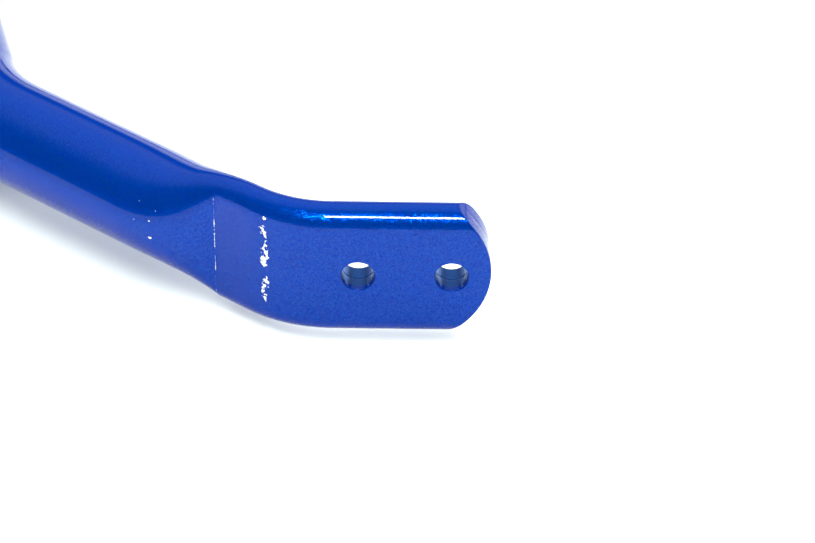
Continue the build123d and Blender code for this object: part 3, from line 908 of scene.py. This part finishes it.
def softened(node, material, width, threaded_from=None):
    """A copy of a CAD node with clean faces and rounded edges.

    It also gets a thread above a height, if one is given.
    """
    mesh = frame["nodes"][node].data.copy()
    mesh.name = f"{node}_rounded"
    work = bmesh.new()
    work.from_mesh(mesh)
    bmesh.ops.remove_doubles(work, verts=work.verts, dist=WELD)
    bmesh.ops.dissolve_limit(work, angle_limit=FLAT_ANGLE, verts=work.verts, edges=work.edges)
    sharp = [
        edge for edge in work.edges
        if len(edge.link_faces) == 2 and edge.calc_face_angle(0) > SHARP_ANGLE
    ]
    bmesh.ops.bevel(
        work, geom=sharp, offset=width, offset_type="OFFSET", segments=3, profile=0.5,
        affect="EDGES", clamp_overlap=True,
    )
    if threaded_from is not None:
        low, high = (Vector(corner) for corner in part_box(node))
        roll_thread(work, (low + high) / 2, threaded_from, high.z - POINT_LENGTH)
    work.to_mesh(mesh)
    work.free()
    mesh.materials.clear()
    mesh.materials.append(material)
    return show(f"{node}_rounded", mesh)


def body_of_node(node):
    """The name of the body that holds a CAD node."""
    for body, nodes in frame["record"]["behaviour"]["bodies"].items():
        if node in nodes:
            return body
    raise RuntimeError(f"{node} is in no body")


def place_softened(nodes, material, width, threaded_from=None):
    """Round the edges of several CAD nodes and let the results stand for them."""
    for node in nodes:
        piece = softened(node, material, width, threaded_from)
        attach(piece, body_of_node(node))
        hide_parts(node)


class SWAYBAR_OT_bushes(bpy.types.Operator):
    """Build the two split bushes"""
    bl_idname = "sway_bar.bushes"
    bl_label = "Bushes"

    def execute(self, context):
        urethane = cast_urethane(context.scene.sway_bar_colours)
        place_softened([f"{side}_bush" for side in SIDES], urethane, 0.7 * MM)
        return {"FINISHED"}


class SWAYBAR_OT_brackets(bpy.types.Operator):
    """Build the two strap brackets"""
    bl_idname = "sway_bar.brackets"
    bl_label = "Brackets"

    def execute(self, context):
        colours = context.scene.sway_bar_colours
        zinc = plated_steel("pressed_steel_bright_zinc", colours.zinc, 1.0, 0.34, 0.5 * MM)
        place_softened([f"{side}_bracket" for side in SIDES], zinc, 0.5 * MM)
        return {"FINISHED"}


class SWAYBAR_OT_fasteners(bpy.types.Operator):
    """Build the bracket bolts and their washers"""
    bl_idname = "sway_bar.fasteners"
    bl_label = "Bracket bolts and washers"

    def execute(self, context):
        colours = context.scene.sway_bar_colours
        zinc = plated_steel("rolled_steel_bright_zinc", colours.zinc, 1.0, 0.28, 0.35 * MM)
        mounting_height = MOUNTS["right_bracket_bolts"]["pos_m"][2]
        corners = [f"{side}_{end}" for side in SIDES for end in ENDS]
        place_softened([f"{corner}_bolt" for corner in corners], zinc, 0.25 * MM, mounting_height)
        place_softened([f"{corner}_spring_washer" for corner in corners], zinc, 0.25 * MM)
        place_softened([f"{corner}_flat_washer" for corner in corners], zinc, 0.3 * MM)
        return {"FINISHED"}


class SWAYBAR_OT_collars(bpy.types.Operator):
    """Build the locating collars and their clamp screws"""
    bl_idname = "sway_bar.collars"
    bl_label = "Locating collars"

    def execute(self, context):
        colours = context.scene.sway_bar_colours
        collar = plated_steel("turned_steel_black_oxide", colours.black_oxide, 0.7, 0.4, 0.4 * MM)
        place_softened([f"{side}_{end}_collar_half" for side in SIDES for end in ENDS], collar, 0.25 * MM)
        screw = plated_steel("alloy_steel_oiled_black", colours.black_oxide, 0.8, 0.26, 0.3 * MM)
        place_softened([f"{side}_{end}_collar_screw" for side in SIDES for end in ENDS], screw, 0.15 * MM)
        return {"FINISHED"}


class SWAYBAR_OT_nipples(bpy.types.Operator):
    """Build the grease nipples"""
    bl_idname = "sway_bar.nipples"
    bl_label = "Grease nipples"

    def execute(self, context):
        colours = context.scene.sway_bar_colours
        yellow_zinc = plated_steel("turned_steel_yellow_zinc", colours.yellow_zinc, 1.0, 0.3, 0.3 * MM)
        place_softened([f"{side}_grease_nipple" for side in SIDES], yellow_zinc, 0.2 * MM)
        return {"FINISHED"}


# ---------------------------------------------------------------- stage

CAMERA_DISTANCE = 1.0
CAMERA_AZIMUTH = -0.16          # degrees, like the next two
CAMERA_ELEVATION = 37.3
CAMERA_ROLL = 0.83
CAMERA_LENS = 143.0547          # mm, with a sensor 36 mm wide
CAMERA_AIM = Vector((15.3 * MM, 0, 2.2 * MM))       # from the plate's face at the inner link hole
FILL_TINT = (0.95, 1.0, 0.92)
TENT_TINT = (0.94, 1.0, 0.97, 1.0)

# Brightness behind the object: sine of the elevation, and share of the sweep's strength there.
# The lit sweep ends in a dark gap, and the tent's roof begins over it.
SWEEP_STRENGTH = 1.9
SWEEP_LEVELS = ((0.0, 1.0), (0.18, 1.0), (0.25, 0.0), (0.38, 0.0), (0.50, 0.5), (1.0, 0.5))
ROOM_STRENGTH = 0.04            # dim room in front of the tent
TENT_EDGE = (-0.12, 0.25)       # Y of the directions between which the room gives way to the tent
PAPER_REACH = 6.0               # metres of paper on every side
FLAG_GAP = 118 * MM             # from the plate to the flag's near edge
FLAG_FRONT = 4.0                # metres that the flag reaches forward from there
FLAG_SIDE = 3.0                 # metres that it reaches to each side


def direction_at(azimuth, elevation):
    """The unit vector towards a direction, azimuth 0 at -Y and turning towards +X, in degrees."""
    azimuth, elevation = math.radians(azimuth), math.radians(elevation)
    level = math.cos(elevation)
    return Vector((level * math.sin(azimuth), -level * math.cos(azimuth), math.sin(elevation)))


def add_lamp(name, azimuth, elevation, target, distance, size, power, tint=(1, 1, 1)):
    """A square soft light that faces the target from a direction."""
    direction = direction_at(azimuth, elevation)
    data = bpy.data.lights.new(name, "AREA")
    data.shape = "SQUARE"
    data.size = size
    data.energy = power
    data.color = tint
    lamp = bpy.data.objects.new(name, data)
    lamp.location = target + direction * distance
    lamp.rotation_euler = (-direction).to_track_quat("-Z", "Y").to_euler()
    bpy.context.scene.collection.objects.link(lamp)
    return lamp


def add_card(name, low, high, height, material):
    """A level rectangle of paper or card, from one corner of its plan to the other."""
    corners = [(low[0], low[1]), (high[0], low[1]), (high[0], high[1]), (low[0], high[1])]
    mesh = bpy.data.meshes.new(name)
    mesh.from_pydata([(x, y, height) for x, y in corners], [], [(0, 1, 2, 3)])
    mesh.materials.append(material)
    card = bpy.data.objects.new(name, mesh)
    bpy.context.scene.collection.objects.link(card)
    return card


def studio_world():
    """A bright tent behind the object, with a dark gap between sweep and roof, and a dim room in front."""
    world = bpy.data.worlds.new("studio")
    world.use_nodes = True
    tree = world.node_tree
    tree.nodes.clear()
    ray = add_node(tree, "ShaderNodeTexCoord").outputs["Generated"]
    parts = add_node(tree, "ShaderNodeSeparateXYZ", {0: ray})
    behind = add_node(
        tree, "ShaderNodeMapRange",
        {"Value": parts.outputs["Y"], "From Min": TENT_EDGE[0], "From Max": TENT_EDGE[1]},
        interpolation_type="SMOOTHSTEP",
    )
    levels = add_node(tree, "ShaderNodeValToRGB", {"Fac": parts.outputs["Z"]})
    fill_ramp(levels.color_ramp, SWEEP_LEVELS)
    tent = add_node(
        tree, "ShaderNodeMath", {0: behind.outputs[0], 1: levels.outputs["Color"]}, operation="MULTIPLY"
    )
    strength = add_node(
        tree, "ShaderNodeMapRange",
        {"Value": tent.outputs[0], "To Min": ROOM_STRENGTH, "To Max": SWEEP_STRENGTH},
    )
    background = add_node(
        tree, "ShaderNodeBackground", {"Color": TENT_TINT, "Strength": strength.outputs[0]}
    )
    output = add_node(tree, "ShaderNodeOutputWorld")
    tree.links.new(background.outputs[0], output.inputs["Surface"])
    return world


def add_camera(target):
    """A camera on a long lens that looks down at the target."""
    data = bpy.data.cameras.new("camera")
    data.sensor_width = 36
    data.lens = CAMERA_LENS
    data.clip_start = 0.01
    camera = bpy.data.objects.new("camera", data)
    back = direction_at(CAMERA_AZIMUTH, CAMERA_ELEVATION)
    turn = back.to_track_quat("Z", "Y").to_matrix().to_4x4()
    roll = Matrix.Rotation(math.radians(CAMERA_ROLL), 4, "Z")
    camera.matrix_world = Matrix.Translation(target + back * CAMERA_DISTANCE) @ turn @ roll
    bpy.context.scene.collection.objects.link(camera)
    return camera


class SWAYBAR_OT_stage(bpy.types.Operator):
    """Set the paper sweep, the lights and the camera"""
    bl_idname = "sway_bar.stage"
    bl_label = "Stage"

    def execute(self, context):
        scene = context.scene
        scene.view_settings.view_transform = "Standard"
        colours = scene.sway_bar_colours
        ground = CAD_BOX[0][2]
        plate = Vector((INNER_HOLE.x, BAR_LOW[1], AXIS.z))

        add_card(
            "paper_sweep", (-PAPER_REACH, -PAPER_REACH), (PAPER_REACH, PAPER_REACH), ground,
            paper_sweep(colours),
        )
        # A studio flag: it lies on the paper in front, and only reflections see it.
        near_edge = plate.y - FLAG_GAP
        flag = add_card(
            "front_flag", (-FLAG_SIDE, near_edge - FLAG_FRONT), (FLAG_SIDE, near_edge), ground + 0.5 * MM,
            black_card(colours),
        )
        flag.visible_camera = False
        flag.visible_diffuse = False
        flag.visible_shadow = False
        flag.visible_transmission = False

        near = add_lamp("near_lamp", 0, 51, plate, 1.8, 0.34, 44)
        near.visible_diffuse = False
        front = add_lamp("front_fill", 0, 60, plate, 1.9, 2.0, 80, FILL_TINT)
        front.visible_glossy = False
        rear = add_lamp("rear_fill", 180, 55, plate, 1.9, 1.2, 40, FILL_TINT)
        rear.visible_glossy = False

        scene.world = studio_world()
        scene.camera = add_camera(plate + CAMERA_AIM)
        return {"FINISHED"}


# ---------------------------------------------------------------- panel and registration

OPERATORS = (
    SWAYBAR_OT_stage, SWAYBAR_OT_bar, SWAYBAR_OT_bushes, SWAYBAR_OT_brackets,
    SWAYBAR_OT_fasteners, SWAYBAR_OT_collars, SWAYBAR_OT_nipples,
)


class SWAYBAR_PT_panel(bpy.types.Panel):
    """Sizes, colours and build steps of the sway bar"""
    bl_idname = "SWAYBAR_PT_panel"
    bl_label = "Sway bar"
    bl_space_type = "VIEW_3D"
    bl_region_type = "UI"
    bl_category = "Sway bar"

    def draw(self, context):
        for group in (context.scene.sway_bar_sizes, context.scene.sway_bar_colours):
            box = self.layout.box()
            for name in group.__annotations__:
                box.prop(group, name)
        for operator in OPERATORS:
            self.layout.operator(operator.bl_idname)


CLASSES = (SwayBarSizes, SwayBarColours) + OPERATORS + (SWAYBAR_PT_panel,)


def register():
    """Register the classes and hang their settings on the scene."""
    for cls in CLASSES:
        bpy.utils.register_class(cls)
    bpy.types.Scene.sway_bar_sizes = PointerProperty(type=SwayBarSizes)
    bpy.types.Scene.sway_bar_colours = PointerProperty(type=SwayBarColours)


def unregister():
    """Undo what register does."""
    del bpy.types.Scene.sway_bar_colours
    del bpy.types.Scene.sway_bar_sizes
    for cls in reversed(CLASSES):
        bpy.utils.unregister_class(cls)


def main():
    """Build the stage and every piece."""
    register()
    bpy.ops.sway_bar.stage()
    bpy.ops.sway_bar.bar()
    bpy.ops.sway_bar.bushes()
    bpy.ops.sway_bar.brackets()
    bpy.ops.sway_bar.fasteners()
    bpy.ops.sway_bar.collars()
    bpy.ops.sway_bar.nipples()


if __name__ == "__main__":
    main()
